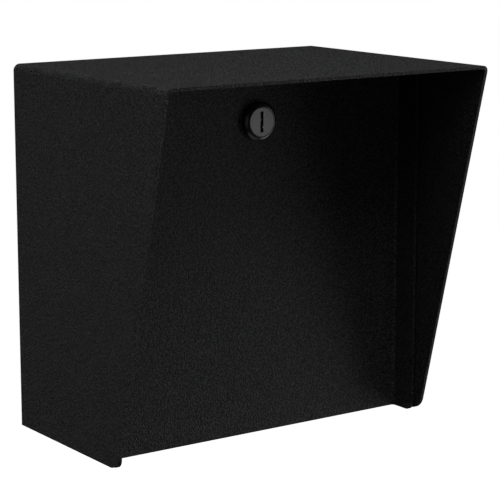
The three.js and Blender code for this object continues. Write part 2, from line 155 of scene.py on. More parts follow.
class LockSizes(bpy.types.PropertyGroup):
    """Sizes of the cam lock."""

    rim: length("Rim", "Radius of the flat ring at the front of the bezel", 8.15 * MM)
    barrel: length("Barrel", "Radius over the barrel's threads", 9.5 * MM)
    flat: length("Flat", "Distance from the axis to each flat of the barrel", 8 * MM)
    pitch: length("Thread pitch", "Pitch of the barrel's thread", 1.25 * MM)
    thread: length("Thread depth", "Depth of the barrel's thread", 0.55 * MM)
    bore: length("Bore", "Radius of the bore that the plug turns in", 6.6 * MM)
    head_gap: length("Head gap", "Gap round the plug's head", 0.08 * MM)
    head: length("Head depth", "Thickness of the plug's head", 1.4 * MM)
    slot_height: length("Key slot height", "Height of the key slot", 11.4 * MM)
    slot_width: length("Key slot width", "Width of the key slot", 1.95 * MM)
    slot_depth: length("Key slot depth", "Depth of the key slot", 12.4 * MM)
    ward: length("Ward", "Radius of a ward in the key slot", 0.5 * MM)
    left_ward: length("Left ward", "Height of the left ward above the axis", 1.25 * MM)
    right_ward: length("Right ward", "Depth of the right ward below the axis", 2.95 * MM)
    wire: length("Spring wire", "Radius of a wafer spring's wire", 0.13 * MM)


class Finishes(bpy.types.PropertyGroup):
    """Colours and grain of the finishes."""

    coat: colour("Coat", "Colour of the powder coat", (0.0262, 0.0266, 0.028))
    grain: length("Grain", "Size of a grain of the powder coat", 0.95 * MM)
    shell: colour("Lock shell", "Colour of the lock's bezel and barrel", (0.012, 0.012, 0.0125))
    face: colour("Lock face", "Colour of the plug's face", (0.28, 0.28, 0.28))
    zinc: colour("Zinc plate", "Colour of the plated steel", (0.56, 0.57, 0.58))
    # The wafers' brass colour is darkened as painted shade of the key slot they sit in.
    brass: colour("Brass", "Colour of the wafers", (0.2, 0.14, 0.06))
    wire: colour("Spring steel", "Colour of the springs", (0.46, 0.46, 0.47))


class StageSizes(bpy.types.PropertyGroup):
    """Where the camera stands and how the lights shine."""

    azimuth: angle("Azimuth", "Turn of the camera to the left", 35)
    elevation: angle("Elevation", "Rise of the camera", 11)
    view: angle("Field of view", "Width of the view", 15)
    distance: length("Distance", "From the camera to the middle of the box", 1.0456)
    drop: length("Floor", "Height of the box above the floor", 1.5)


GROUPS = {
    "lock_box_sheet": SheetSizes,
    "lock_box_hinge": HingeSizes,
    "lock_box_lock": LockSizes,
    "lock_box_finish": Finishes,
    "lock_box_stage": StageSizes,
}


# ---- Node trees ----

class Value:
    """A number in a node tree. Arithmetic on it adds Math nodes."""

    def __init__(self, tree, socket):
        self.tree = tree
        self.socket = socket

    def math(self, operation, first, second=0.0):
        return self.tree.node("ShaderNodeMath", {"operation": operation}, {0: first, 1: second})

    def __add__(self, other):
        return self.math("ADD", self, other)

    def __sub__(self, other):
        return self.math("SUBTRACT", self, other)

    def __mul__(self, other):
        return self.math("MULTIPLY", self, other)

    def __rsub__(self, other):
        return self.math("SUBTRACT", other, self)

    __radd__ = __add__
    __rmul__ = __mul__


class Tree:
    """A node tree that is filled by one method."""

    def __init__(self, nodes):
        self.nodes = nodes

    def node(self, kind, settings=None, inputs=None, output=0):
        """Adds a node. Its settings are made first, then its sockets get their values or links."""
        made = self.nodes.nodes.new(kind)
        for key, setting in (settings or {}).items():
            setattr(made, key, setting)
        for key, value in (inputs or {}).items():
            if isinstance(value, Value):
                self.nodes.links.new(value.socket, made.inputs[key])
            else:
                made.inputs[key].default_value = value
        return Value(self, made.outputs[output])


class Finish(Tree):
    """A material with one Principled shader."""

    def __init__(self, name, **constants):
        self.material = bpy.data.materials.new(name)
        self.material.use_nodes = True
        super().__init__(self.material.node_tree)
        self.shader = self.nodes.nodes["Principled BSDF"]
        for key, value in constants.items():
            self.shader.inputs[key.replace("_", " ")].default_value = value

    def place(self):
        """Object coordinates, as every piece's object sits at the origin."""
        return self.node("ShaderNodeTexCoord", output="Object")

    def moved(self, place, location=(0, 0, 0), rotation=(0, 0, 0), scale=(1, 1, 1)):
        inputs = {"Vector": place, "Location": location, "Rotation": rotation, "Scale": scale}
        return self.node("ShaderNodeMapping", {}, inputs)

    def noise(self, place, size, detail=2.0, roughness=0.5):
        inputs = {"Vector": place, "Scale": 1 / size, "Detail": detail, "Roughness": roughness}
        return self.node("ShaderNodeTexNoise", {}, inputs, "Fac")

    def cells(self, place, size):
        inputs = {"Vector": place, "Scale": 1 / size}
        return self.node("ShaderNodeTexVoronoi", {}, inputs, "Distance")

    def ramp(self, value, low, high):
        """0 below low, 1 above high, and a smooth rise between them."""
        settings = {"interpolation_type": "SMOOTHSTEP"}
        inputs = {"Value": value, "From Min": low, "From Max": high}
        return self.node("ShaderNodeMapRange", settings, inputs)

    def mixed(self, share, first, second):
        """A colour that goes from a fixed one to the second, which may vary itself."""
        second = second if isinstance(second, Value) else (*second, 1)
        inputs = {0: share, 6: (*first, 1), 7: second}
        return self.node("ShaderNodeMix", {"data_type": "RGBA"}, inputs, 2)

    def wears(self, **links):
        """Links varying values to the shader's sockets."""
        for key, value in links.items():
            self.nodes.links.new(value.socket, self.shader.inputs[key.replace("_", " ")])
        return self.material

    def bumped(self, height, depth, strength=1.0):
        inputs = {"Height": height, "Distance": depth, "Strength": strength}
        return self.node("ShaderNodeBump", {}, inputs)


def shades(tint, factor):
    return tuple(channel * factor for channel in tint)


# ---- Finishes ----

# Turns the coat's grain so that no flat face lies along the noise's own grid.
COAT_TURN = (0.7, 0.5, 0.35)


def powder_coat(sizes):
    """Black coat, melted into small grains with pits between them."""
    finish = Finish("powder_coat", IOR=1.5, Specular_IOR_Level=0.25)
    place = finish.moved(finish.place(), rotation=COAT_TURN)
    grain = finish.noise(place, sizes.grain, 2.0)
    fine = finish.noise(place, sizes.grain * 0.45, 1.0)
    cloud = finish.noise(place, sizes.grain * 14, 2.0)
    height = grain * 0.8 + fine * 0.2
    raised = finish.ramp(height + cloud * 0.03, 0.43, 0.64)
    tint = finish.mixed(raised, shades(sizes.coat, 0.15), shades(sizes.coat, 1.9))
    return finish.wears(
        Base_Color=tint,
        Roughness=0.48 + raised * 0.1 + cloud * 0.04,
        Normal=finish.bumped(height, sizes.grain),
    )


def lock_shell(sizes):
    """Polished black plate with faint buffing."""
    finish = Finish("black_plate", IOR=1.6)
    place = finish.place()
    haze = finish.noise(place, 3 * MM, 3.0)
    speck = finish.noise(place, 0.25 * MM, 1.0)
    tint = finish.mixed(haze, shades(sizes.shell, 0.8), shades(sizes.shell, 1.25))
    return finish.wears(
        Base_Color=tint,
        Roughness=0.22 + haze * 0.08,
        Normal=finish.bumped(speck, 0.01 * MM, 0.2),
    )


def lock_face(sizes):
    """Satin nickel on the plug, with fine turned rings, and painted shade in its key slot: dark,
    rough and not metallic behind the face.
    """
    finish = Finish("satin_nickel")
    place = finish.place()
    flat = finish.moved(place, location=(-LOCK_X, 0, -LOCK_Z), scale=(1, 0, 1))
    radius = finish.node("ShaderNodeVectorMath", {"operation": "LENGTH"}, {0: flat}, "Value")
    along = finish.node("ShaderNodeSeparateXYZ", {}, {"Vector": place}, "Y")
    wander = finish.noise(place, 4 * MM, 1.0)
    rings = finish.node(
        "ShaderNodeMath", {"operation": "SINE"}, {0: radius * (2 * pi / (0.22 * MM)) + wander * 6}
    )
    haze = finish.noise(place, 2.5 * MM, 3.0)
    # Painted shade: behind the face and inside the plug's rim, where the key slot is, the nickel
    # gives way to a dark, rough, non-metallic colour. The mask is 1 on the face and 0 there.
    inside = 1 - finish.ramp(radius, PLUG_RADIUS - 1.3 * MM, PLUG_RADIUS - 0.9 * MM)
    deep = finish.ramp(along, LOCK_FRONT + 0.02 * MM, LOCK_FRONT + 0.1 * MM)
    unshaded_face = 1 - inside * deep
    plated = finish.mixed(haze, shades(sizes.face, 0.94), shades(sizes.face, 1.06))
    return finish.wears(
        Base_Color=finish.mixed(unshaded_face, shades(sizes.shell, 0.5), plated),
        Metallic=unshaded_face,
        Roughness=0.8 + unshaded_face * (haze * 0.06 + rings * 0.01 - 0.4),
        Normal=finish.bumped(rings, 0.003 * MM, 0.2),
    )


def zinc_plate(sizes):
    """Bright zinc with small crystals and a faint blue cast."""
    finish = Finish("zinc_plate", Metallic=1.0)
    place = finish.place()
    crystal = finish.cells(place, 1.3 * MM)
    stain = finish.noise(place, 9 * MM, 4.0)
    brushed = finish.moved(place, rotation=(0, 0, 0.5), scale=(1, 14, 3))
    scratch = finish.noise(brushed, 2.2 * MM, 3.0)
    warm = (sizes.zinc[0] * 0.98, sizes.zinc[1] * 0.93, sizes.zinc[2] * 0.84)
    tint = finish.mixed(finish.ramp(stain, 0.42, 0.62), warm, sizes.zinc)
    return finish.wears(
        Base_Color=tint,
        Roughness=0.26 + crystal * 0.14 + scratch * 0.16,
        Normal=finish.bumped(scratch + crystal * 0.3, 0.02 * MM, 0.35),
    )


def wafer_brass(sizes):
    """Brass sheet, rolled and stamped, and dulled by use. Its colour is darkened well below bright
    brass as painted shade of the key slot it sits in.
    """
    finish = Finish("stamped_brass", Metallic=1.0)
    place = finish.place()
    rolled = finish.noise(finish.moved(place, scale=(6, 1, 1)), 1.8 * MM, 3.0)
    tint = finish.mixed(rolled, shades(sizes.brass, 0.8), shades(sizes.brass, 1.1))
    return finish.wears(
        Base_Color=tint,
        Roughness=0.4 + rolled * 0.2,
        Normal=finish.bumped(rolled, 0.01 * MM, 0.3),
    )


def spring_steel(sizes):
    """Drawn wire with a thin film of oil."""
    finish = Finish("drawn_wire", Metallic=1.0)
    film = finish.noise(finish.place(), 0.8 * MM, 2.0)
    tint = finish.mixed(film, shades(sizes.wire, 0.75), shades(sizes.wire, 1.15))
    return finish.wears(Base_Color=tint, Roughness=0.24 + film * 0.18)


MAKERS = {
    "powder_coat": powder_coat,
    "lock_shell": lock_shell,
    "lock_face": lock_face,
    "zinc_steel": zinc_plate,
    "wafer_brass": wafer_brass,
    "spring_steel": spring_steel,
}
MADE = {}


def finish_for(slot):
    """The material of a slot, made when it is first asked for."""
    if slot not in MADE:
        MADE[slot] = MAKERS[slot](bpy.context.scene.lock_box_finish)
    return MADE[slot]


# ---- Meshes ----

NODE_MERGE = 0.002 * MM  # points of a frame node nearer than this are one
POLE_MERGE = 0.0001 * MM  # and so are those of a turned shape, at its poles
FLAT_TURN = radians(1)  # faces that turn less than this are one


@contextmanager
def edited(piece):
    """The piece's mesh, open for edits that are written back at the end."""
    shape = bmesh.new()
    shape.from_mesh(piece.data)
    yield shape
    shape.to_mesh(piece.data)
    shape.free()


def placed(name, data):
    """A new object in the scene for a mesh, a lamp or a camera."""
    item = bpy.data.objects.new(name, data)
    bpy.context.scene.collection.objects.link(item)
    return item


def meshed(name, points, faces, merge=0.0):
    """A piece from points and faces, with near points merged and its faces pointing outwards."""
    mesh = bpy.data.meshes.new(name)
    mesh.from_pydata([tuple(point) for point in points], [], faces)
    piece = placed(name, mesh)
    with edited(piece) as shape:
        if merge:
            bmesh.ops.remove_doubles(shape, verts=shape.verts, dist=merge)
        bmesh.ops.recalc_face_normals(shape, faces=shape.faces)
    return piece


def baked(piece):
    """Turns the piece's modifiers into its mesh."""
    graph = bpy.context.evaluated_depsgraph_get()
    mesh = bpy.data.meshes.new_from_object(piece.evaluated_get(graph), depsgraph=graph)
    old = piece.data
    piece.modifiers.clear()
    piece.data = mesh
    bpy.data.meshes.remove(old)
    return piece


def discard(piece):
    bpy.data.objects.remove(piece)


def combined(piece, tool, operation):
    """Cuts or intersects the piece with a tool, which is then discarded."""
    modifier = piece.modifiers.new("Combine", "BOOLEAN")
    modifier.operation = operation
    modifier.solver = "EXACT"
    modifier.object = tool
    baked(piece)
    discard(tool)
    return piece


def joined(piece, other):
    """Puts another piece's mesh into the piece's own."""
    with edited(piece) as shape:
        shape.from_mesh(other.data)
    discard(other)
    return piece


def softened(piece, radius, crease=radians(35), segments=3):
    """Rounds the piece's sharp edges."""
    bevel = piece.modifiers.new("Edges", "BEVEL")
    bevel.width = radius
    bevel.segments = segments
    bevel.limit_method = "ANGLE"
    bevel.angle_limit = crease
    return baked(piece)


def refined(node, name):
    """A copy of a frame node as one clean mesh, with its flat faces made whole."""
    piece = placed(name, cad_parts[node].data.copy())
    piece.data.materials.clear()
    with edited(piece) as shape:
        bmesh.ops.remove_doubles(shape, verts=shape.verts, dist=NODE_MERGE)
        bmesh.ops.dissolve_limit(
            shape, angle_limit=FLAT_TURN, verts=shape.verts, edges=shape.edges
        )
        for layer in list(shape.loops.layers.uv):
            shape.loops.layers.uv.remove(layer)
    return piece


def settled(piece, body, slot, *stands_for, crease=radians(50)):
    """Shades a finished piece, gives it its finish and ties it to its body."""
    mesh = piece.data
    mesh.shade_smooth()
    mesh.set_sharp_from_angle(angle=crease)
    weighted = piece.modifiers.new("Weighted", "WEIGHTED_NORMAL")
    weighted.keep_sharp = True
    baked(piece)
    piece.data.materials.clear()
    piece.data.materials.append(finish_for(slot))
    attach(piece, body)
    if stands_for:
        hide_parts(*stands_for)
    return piece


def copied(node, name, body, slot, edge, segments=3):
    """A piece that is its frame node with rounded edges."""
    piece = softened(refined(node, name), edge, segments=segments)
    return settled(piece, body, slot, node)


def arc(centre, radius, start, end, steps):
    """Points along an arc, with both of its ends."""
    turns = [start + (end - start) * step / steps for step in range(steps + 1)]
    return [(centre[0] + radius * cos(turn), centre[1] + radius * sin(turn)) for turn in turns]


def quarter(parts):
    """Angles in equal steps up to a right angle, without 0."""
    return [radians(90) * part / parts for part in range(1, parts + 1)]


def prism(name, section, axis, low, high):
    """A closed section pushed along an axis. It is drawn in (Y, Z), (X, Z) or (X, Y)."""
    at = "XYZ".index(axis)
    points = [(*pair[:at], along, *pair[at:]) for along in (low, high) for pair in section]
    count = len(section)
    faces = [[*range(count)], [*range(count, 2 * count)]]
    for index in range(count):
        after = (index + 1) % count
        faces.append([index, after, after + count, index + count])
    return meshed(name, points, faces)


def block(name, low, high):
    """A rectangular block between two corners."""
    section = [(low[0], low[1]), (high[0], low[1]), (high[0], high[1]), (low[0], high[1])]
    return prism(name, section, "Z", low[2], high[2])


def spun(name, rows, segments, place, axis="Y", closed=False):
    """A profile turned about an axis through a place. A row is a (radius, along) pair, or a
    function of the angle that gives one. A closed profile is a ring, and others end on the axis."""
    points = []
    for row in rows:
        for step in range(segments):
            turn = 2 * pi * step / segments
            radius, along = row(turn) if callable(row) else row
            u, v = radius * cos(turn), radius * sin(turn)
            point = (u, along, v) if axis == "Y" else (u, v, along)
            points.append(Vector(point) + Vector(place))
    faces = []
    count = len(rows)
    for index in range(count if closed else count - 1):
        for step in range(segments):
            after = (step + 1) % segments
            first, second = index * segments, (index + 1) % count * segments
            faces.append([first + step, first + after, second + after, second + step])
    return meshed(name, points, faces, POLE_MERGE)


def bent_path(corners, bend, thickness, steps=14, marks=()):
    """Columns along a bent sheet as (outer point, inner point) pairs. The corners follow the
    outer face, and marks are distances from both ends where the sheet gets one column more."""
    corners = [Vector(corner) for corner in corners]
    columns = []

    def column(point, inward):
        columns.append((point.copy(), point + inward * thickness))

    for index, corner in enumerate(corners):
        if index == 0 or index == len(corners) - 1:
            along = corners[1] - corner if index == 0 else corner - corners[-2]
            inward = Vector((-along.y, along.x)).normalized()
            step = along.normalized() * (1 if index == 0 else -1)
            places = [corner + step * mark for mark in (0, *marks)]
            for place in places if index == 0 else reversed(places):
                column(place, inward)
            continue
        before = (corner - corners[index - 1]).normalized()
        after = (corners[index + 1] - corner).normalized()
        centre = corner + (after - before) * bend
        start = atan2(-after.y, -after.x)
        turn = before.angle_signed(after) * -1
        for part in range(steps + 1):
            spoke = start + turn * part / steps
            outward = Vector((cos(spoke), sin(spoke)))
            column(centre + outward * bend, -outward)
    return columns


def bent_sheet(name, columns, low, high, place):
    """A sheet that follows the columns. Low and high give its two free edges at a point."""
    points = []
    for outer, inner in columns:
        for edge in (low, high):
            for point in (outer, inner):
                points.append(place(point, edge(point)))
    faces = []
    for index in range(len(columns) - 1):
        a, b = 4 * index, 4 * index + 4
        faces += [[a, b, b + 2, a + 2], [a + 1, a + 3, b + 3, b + 1]]
        faces += [[a, a + 1, b + 1, b], [a + 2, b + 2, b + 3, a + 3]]
    last = 4 * (len(columns) - 1)
    faces += [[0, 2, 3, 1], [last, last + 1, last + 3, last + 2]]
    return meshed(name, points, faces)


# ---- Rows of like pieces ----

def row_tree():
    """Geometry nodes that repeat a piece along a line and add the row to what is there."""
    tree = bpy.data.node_groups.new("Row of pieces", "GeometryNodeTree")
    kinds = dict(Geometry="Geometry", Piece="Object", Start="Vector", Step="Vector")
    kinds |= dict(Count="Int", Turn="Float", Seed="Int", Material="Material")
    for name, kind in kinds.items():
        tree.interface.new_socket(name, in_out="INPUT", socket_type="NodeSocket" + kind)
    tree.interface.new_socket("Geometry", in_out="OUTPUT", socket_type="NodeSocketGeometry")
    grown = Tree(tree)
    given = tree.nodes.new("NodeGroupInput")
    wanted = {name: Value(grown, given.outputs[name]) for name in kinds}
    line = grown.node(
        "GeometryNodeMeshLine",
        {"mode": "OFFSET"},
        {"Count": wanted["Count"], "Start Location": wanted["Start"], "Offset": wanted["Step"]},
    )
    source = grown.node("GeometryNodeObjectInfo", {}, {"Object": wanted["Piece"]}, "Geometry")
    spin = grown.node(
        "FunctionNodeRandomValue",
        {"data_type": "FLOAT"},
        {2: 0.0, 3: wanted["Turn"], "Seed": wanted["Seed"]},
        1,
    )
    angles = grown.node("ShaderNodeCombineXYZ", {}, {"Z": spin})
    row = grown.node(
        "GeometryNodeInstanceOnPoints", {}, {"Points": line, "Instance": source, "Rotation": angles}
    )
    real = grown.node("GeometryNodeRealizeInstances", {}, {"Geometry": row})
    both = tree.nodes.new("GeometryNodeJoinGeometry")
    for part in (real, wanted["Geometry"]):
        tree.links.new(part.socket, both.inputs[0])
    painted = grown.node(
        "GeometryNodeSetMaterial",
        {},
        {"Geometry": Value(grown, both.outputs[0]), "Material": wanted["Material"]},
    )
    tree.links.new(painted.socket, tree.nodes.new("NodeGroupOutput").inputs[0])
    return tree


def with_row(piece, copy, start, step, count, slot, turn=0.0, seed=1):
    """Adds a row of copies to a piece's mesh, and discards the one that was copied."""
    tree = bpy.data.node_groups.get("Row of pieces") or row_tree()
    modifier = piece.modifiers.new("Row", "NODES")
    modifier.node_group = tree
    values = dict(Piece=copy, Start=start, Step=step, Count=count, Turn=turn, Seed=seed)
    values["Material"] = finish_for(slot)
    for item in tree.interface.items_tree:
        if item.in_out == "INPUT" and item.name in values:
            modifier[item.identifier] = values[item.name]
    baked(piece)
    discard(copy)


def weld_mark(radius, facing):
    """The shallow ring that a spot weld leaves on a face that looks this way."""
    root, rim, dish = -0.1 * MM, 0.09 * MM, 0.02 * MM
    rows = [(0, root), (radius, root), (radius, 0.0), (0.88 * radius, rim)]
    rows += [(0.72 * radius, rim), (0.6 * radius, dish), (0, dish)]
    mark = spun("weld_mark", rows, 24, (0, 0, 0), axis="Z")
    mark.data.transform(Vector(facing).to_track_quat("Z", "Y").to_matrix().to_4x4())
    return mark


def weld_rows(name, body, rows):
    """Rows of weld marks as one piece. A row is (facing, first, last, count)."""
    radius = bpy.context.scene.lock_box_sheet.weld
    piece = placed(name, bpy.data.meshes.new(name))
    for facing, first, last, count in rows:
        mark = weld_mark(radius, facing)
        step = (Vector(last) - Vector(first)) / max(count - 1, 1)
        with_row(piece, mark, first, step, count, "powder_coat")
    return settled(piece, body, "powder_coat")


# ---- Housing ----

class LOCKBOX_OT_hood(bpy.types.Operator):
    """Make the hood: the roof and both sides, bent from one sheet"""

    bl_idname = "lock_box.hood"
    bl_label = "Hood"

    def execute(self, context):
        sizes = context.scene.lock_box_sheet
        left, bottom, top = HOOD_LOW.x, HOOD_LOW.z, HOOD_HIGH.z
        roof = -HOOD_LOW.y
        rise = top - bottom
        lean = roof - sizes.foot
        slope = hypot(rise, lean)
        round_z = bottom + sizes.foot_corner
        climb = sizes.foot_corner * (1 - lean / slope) * slope / rise
        round_y = -sizes.foot - climb * lean / slope + sizes.foot_corner * rise / slope
        meet = round_z + sizes.foot_corner * lean / slope

        def front(point):
            """Where a side's front edge lies at this height."""
            if point.y >= meet:
                return -sizes.foot - lean * (point.y - bottom) / rise
            reach = sizes.foot_corner**2 - (point.y - round_z) ** 2
            return round_y - sqrt(max(reach, 0))

        marks = {round(sizes.foot_corner * (1 - sin(turn)), 7) for turn in quarter(12)}
        marks = sorted({*marks, meet - bottom} - {0})
        corners = [(-left, bottom), (-left, top), (left, top), (left, bottom)]
        columns = bent_path(corners, sizes.bend, sizes.thickness, marks=marks)
        hood = bent_sheet(
            "hood_sheet",
            columns,
            front,
            lambda point: 0.0,
            lambda point, edge: (point.x, edge, point.y),
        )
        softened(hood, sizes.edge)
        settled(hood, HOUSING, "powder_coat", "hood_shell")
        return {"FINISHED"}


class LOCKBOX_OT_plates(bpy.types.Operator):
    """Make the back pan, the floor, the door stops and the keeper"""

    bl_idname = "lock_box.plates"
    bl_label = "Back, floor, stops and keeper"

    def execute(self, context):
        inner_edge = 0.8 * context.scene.lock_box_sheet.edge
        plates = {
            "back_plate": "back_pan",
            "floor_plate": "floor_pan",
            "door_stop_left": "left_stop_angle",
            "door_stop_right": "right_stop_angle",
            "keeper_bracket": "keeper_angle",
        }
        for node, name in plates.items():
            copied(node, name, HOUSING, "powder_coat", inner_edge)
        return {"FINISHED"}


class LOCKBOX_OT_housing_welds(bpy.types.Operator):
    """Make the spot welds inside the housing"""

    bl_idname = "lock_box.housing_welds"
    bl_label = "Housing spot welds"

    def execute(self, context):
        sheet = context.scene.lock_box_sheet.thickness
        stop_low, stop_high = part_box("door_stop_right")
        keeper_low, keeper_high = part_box("keeper_bracket")
        wall = BACK_HIGH.x - sheet
        roof = BACK_HIGH.z - sheet
        stop_y = (stop_low.y + stop_high.y) / 2
        flange_z = (FLOOR_LOW.z + sheet + FLOOR_HIGH.z) / 2
        flange_y = (BACK_LOW.y - sheet) / 2
        keeper_y = (keeper_low.y + keeper_high.y - sheet) / 2
        inset, floor_inset, keeper_inset = 18 * MM, 8 * MM, 7 * MM
        rows = []
        for side in (-1, 1):
            facing = (-side, 0, 0)
            x = side * wall
            low, high = stop_low.z + inset, stop_high.z - inset
            rows.append((facing, (x, stop_y, low), (x, stop_y, high), 4))
            near, far = FLOOR_LOW.y + floor_inset, BACK_LOW.y - floor_inset
            rows.append((facing, (x, near, flange_z), (x, far, flange_z), 3))
            low, high = BACK_LOW.z + 2 * inset, BACK_HIGH.z - 2 * inset
            rows.append((facing, (x, flange_y, low), (x, flange_y, high), 4))
        reach = BACK_HIGH.x - 2 * inset
        rows.append(((0, 0, -1), (-reach, flange_y, roof), (reach, flange_y, roof), 4))
        left, right = keeper_low.x + keeper_inset, keeper_high.x - keeper_inset
        rows.append(((0, 0, -1), (left, keeper_y, roof), (right, keeper_y, roof), 2))
        weld_rows("housing_spot_welds", HOUSING, rows)
        return {"FINISHED"}


# ---- Door ----

def double_flat(radius, flat, steps=24):
    """A round outline about the lock's axis with a flat on its left and right."""
    turn = acos(flat / radius)
    top = arc((LOCK_X, LOCK_Z), radius, turn, pi - turn, steps)
    return top + arc((LOCK_X, LOCK_Z), radius, pi + turn, 2 * pi - turn, steps)


class LOCKBOX_OT_door(bpy.types.Operator):
    """Make the door: one sheet with a flange turned forward along each side"""

    bl_idname = "lock_box.door"
    bl_label = "Door"

    def execute(self, context):
        sizes = context.scene.lock_box_sheet
        lock = context.scene.lock_box_lock
        left, front, back = PANEL_LOW.x, PANEL_LOW.y, PANEL_HIGH.y
        corner = sizes.flange_corner

        def trim(point):
            """How much the flange's rounded corner takes off at this depth."""
            depth = min(point.y - front, corner)
            return corner - sqrt(max(corner**2 - (corner - depth) ** 2, 0))

        marks = [corner * (1 - cos(turn)) for turn in quarter(10)]
        corners = [(-left, front), (-left, back), (left, back), (left, front)]
        columns = bent_path(corners, sizes.bend, sizes.thickness, marks=marks)
        door = bent_sheet(
            "door_sheet",
            columns,
            lambda point: PANEL_LOW.z + trim(point),
            lambda point: PANEL_HIGH.z - trim(point),
            lambda point, edge: (point.x, point.y, edge),
        )
        fit, weld_inset = 0.2 * MM, 12 * MM
        hole = double_flat(lock.barrel + fit, lock.flat + fit)
        tool = prism("lock_hole", hole, "Y", back - 3 * sizes.thickness, back + sizes.thickness)
        combined(door, tool, "DIFFERENCE")
        softened(door, sizes.edge)
        settled(door, DOOR, "powder_coat", "door_panel")
        z = (DOOR_LEAF_LOW.z + 2 * KNUCKLE_RADIUS + DOOR_LEAF_HIGH.z) / 2
        y = DOOR_BACK + context.scene.lock_box_hinge.leaf
        reach = DOOR_LEAF_HIGH.x - weld_inset
        weld_rows("door_spot_welds", DOOR, [((0, 1, 0), (-reach, y, z), (reach, y, z), 7)])
        return {"FINISHED"}


# ---- Hinge ----

def rolled_knuckle(name, length_along, sizes, root):
    """A knuckle rolled from the leaf about the pin, starting at X 0. Root is two (Y, Z) points
    where it leaves the leaf, and the one nearer to the roll's outside comes first."""
    outer_root, inner_root = (Vector(point) for point in root)
    centre = Vector((PIN_Y, PIN_Z))
    inner = KNUCKLE_RADIUS - sizes.wall
    away = outer_root - centre
    leaf_way = (outer_root - inner_root).normalized()
    start = atan2(leaf_way.y, leaf_way.x)
    cross = leaf_way.x * away.y - leaf_way.y * away.x
    sweep, steps = (-1 if cross > 0 else 1) * radians(318), 40
    section = [outer_root, *arc(centre, KNUCKLE_RADIUS, start, start + sweep, steps)]
    section += [*arc(centre, inner, start + sweep, start, steps), inner_root]
    return prism(name, [tuple(point) for point in section], "X", 0, length_along)


def hinge_leaf(name, node, plate_low, plate_high, root, first, body):
    """A leaf: the flat plate with its holes, from the frame, and a row of knuckles."""
    sizes = bpy.context.scene.lock_box_hinge
    leaf = refined(node, name)
    combined(leaf, block("plate_room", plate_low, plate_high), "INTERSECT")
    softened(leaf, 0.12 * MM, segments=2)
    pitch = (PIN_HIGH.x - PIN_LOW.x) / sizes.knuckles
    knuckle = rolled_knuckle("knuckle", pitch - sizes.knuckle_gap, sizes, root)
    softened(knuckle, 0.1 * MM, segments=2)
    count = len(range(first, sizes.knuckles, 2))
    start = (PIN_LOW.x + first * pitch + sizes.knuckle_gap / 2, 0, 0)
    with_row(leaf, knuckle, start, (2 * pitch, 0, 0), count, "powder_coat")
    return settled(leaf, body, "powder_coat", node)


class LOCKBOX_OT_hinge(bpy.types.Operator):
    """Make the piano hinge: two leaves, the pin and the rivets"""

    bl_idname = "lock_box.hinge"
    bl_label = "Piano hinge"

    def execute(self, context):
        sizes = context.scene.lock_box_hinge
        reach = PIN_HIGH.x + MM
        low, high = FLOOR_LEAF_LOW, FLOOR_LEAF_HIGH
        edge = PIN_Y + KNUCKLE_RADIUS + sizes.knuckle_gap
        root = [(edge, low.z), (edge, low.z + sizes.leaf)]
        room = [(-reach, edge, low.z - MM), (reach, high.y + MM, high.z)]
        hinge_leaf("floor_hinge_leaf", "hinge_floor_leaf", *room, root, 0, HOUSING)
        low, high = DOOR_LEAF_LOW, DOOR_LEAF_HIGH
        edge = PIN_Z + KNUCKLE_RADIUS + sizes.knuckle_gap
        root = [(low.y, edge), (low.y + sizes.leaf, edge)]
        room = [(-reach, low.y - MM, edge), (reach, high.y, high.z + MM)]
        hinge_leaf("door_hinge_leaf", "hinge_door_leaf", *room, root, 1, DOOR)
        self.pin()
        self.rivets(sizes)
        return {"FINISHED"}

    def pin(self):
        radius = (PIN_HIGH.y - PIN_LOW.y) / 2
        end, crown = 0.7 * radius, 0.3 * MM
        rows = [(0, PIN_LOW.x), (end, PIN_LOW.x), (radius, PIN_LOW.x + crown)]
        rows += [(radius, PIN_HIGH.x - crown), (end, PIN_HIGH.x), (0, PIN_HIGH.x)]
        pin = spun("hinge_pin_rod", rows, 32, (0, 0, 0), axis="Z")
        pin.data.transform(Matrix.Rotation(pi / 2, 4, "Y"))
        pin.data.transform(Matrix.Translation((0, PIN_Y, PIN_Z)))
        settled(pin, HOUSING, "zinc_steel", "hinge_pin")

    def rivets(self, sizes):
        low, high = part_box(RIVETS[0])
        last_low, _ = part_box(RIVETS[-1])
        radius = (high.x - low.x) / 2
        seat = FLOOR_LEAF_LOW.z + sizes.leaf
        crown = high.z - seat
        middle = (low.z + FLOOR_LEAF_LOW.z) / 2
        rows = [(0, low.z), (sizes.tail, low.z), (sizes.shank, middle), (sizes.shank, seat)]
        rows.append((radius, seat))
        rows += [(radius * cos(turn), seat + crown * sin(turn)) for turn in quarter(8)]
        rivet = spun("rivet", rows, 40, (0, 0, 0), axis="Z")
        piece = placed("hinge_rivets", bpy.data.meshes.new("hinge_rivets"))
        start = Vector((low.x + radius, (low.y + high.y) / 2, 0))
        step = Vector(((last_low.x - low.x) / (len(RIVETS) - 1), 0, 0))
        with_row(piece, rivet, start, step, len(RIVETS), "zinc_steel", turn=2 * pi)
        settled(piece, HOUSING, "zinc_steel", *RIVETS)


# ---- Lock body ----

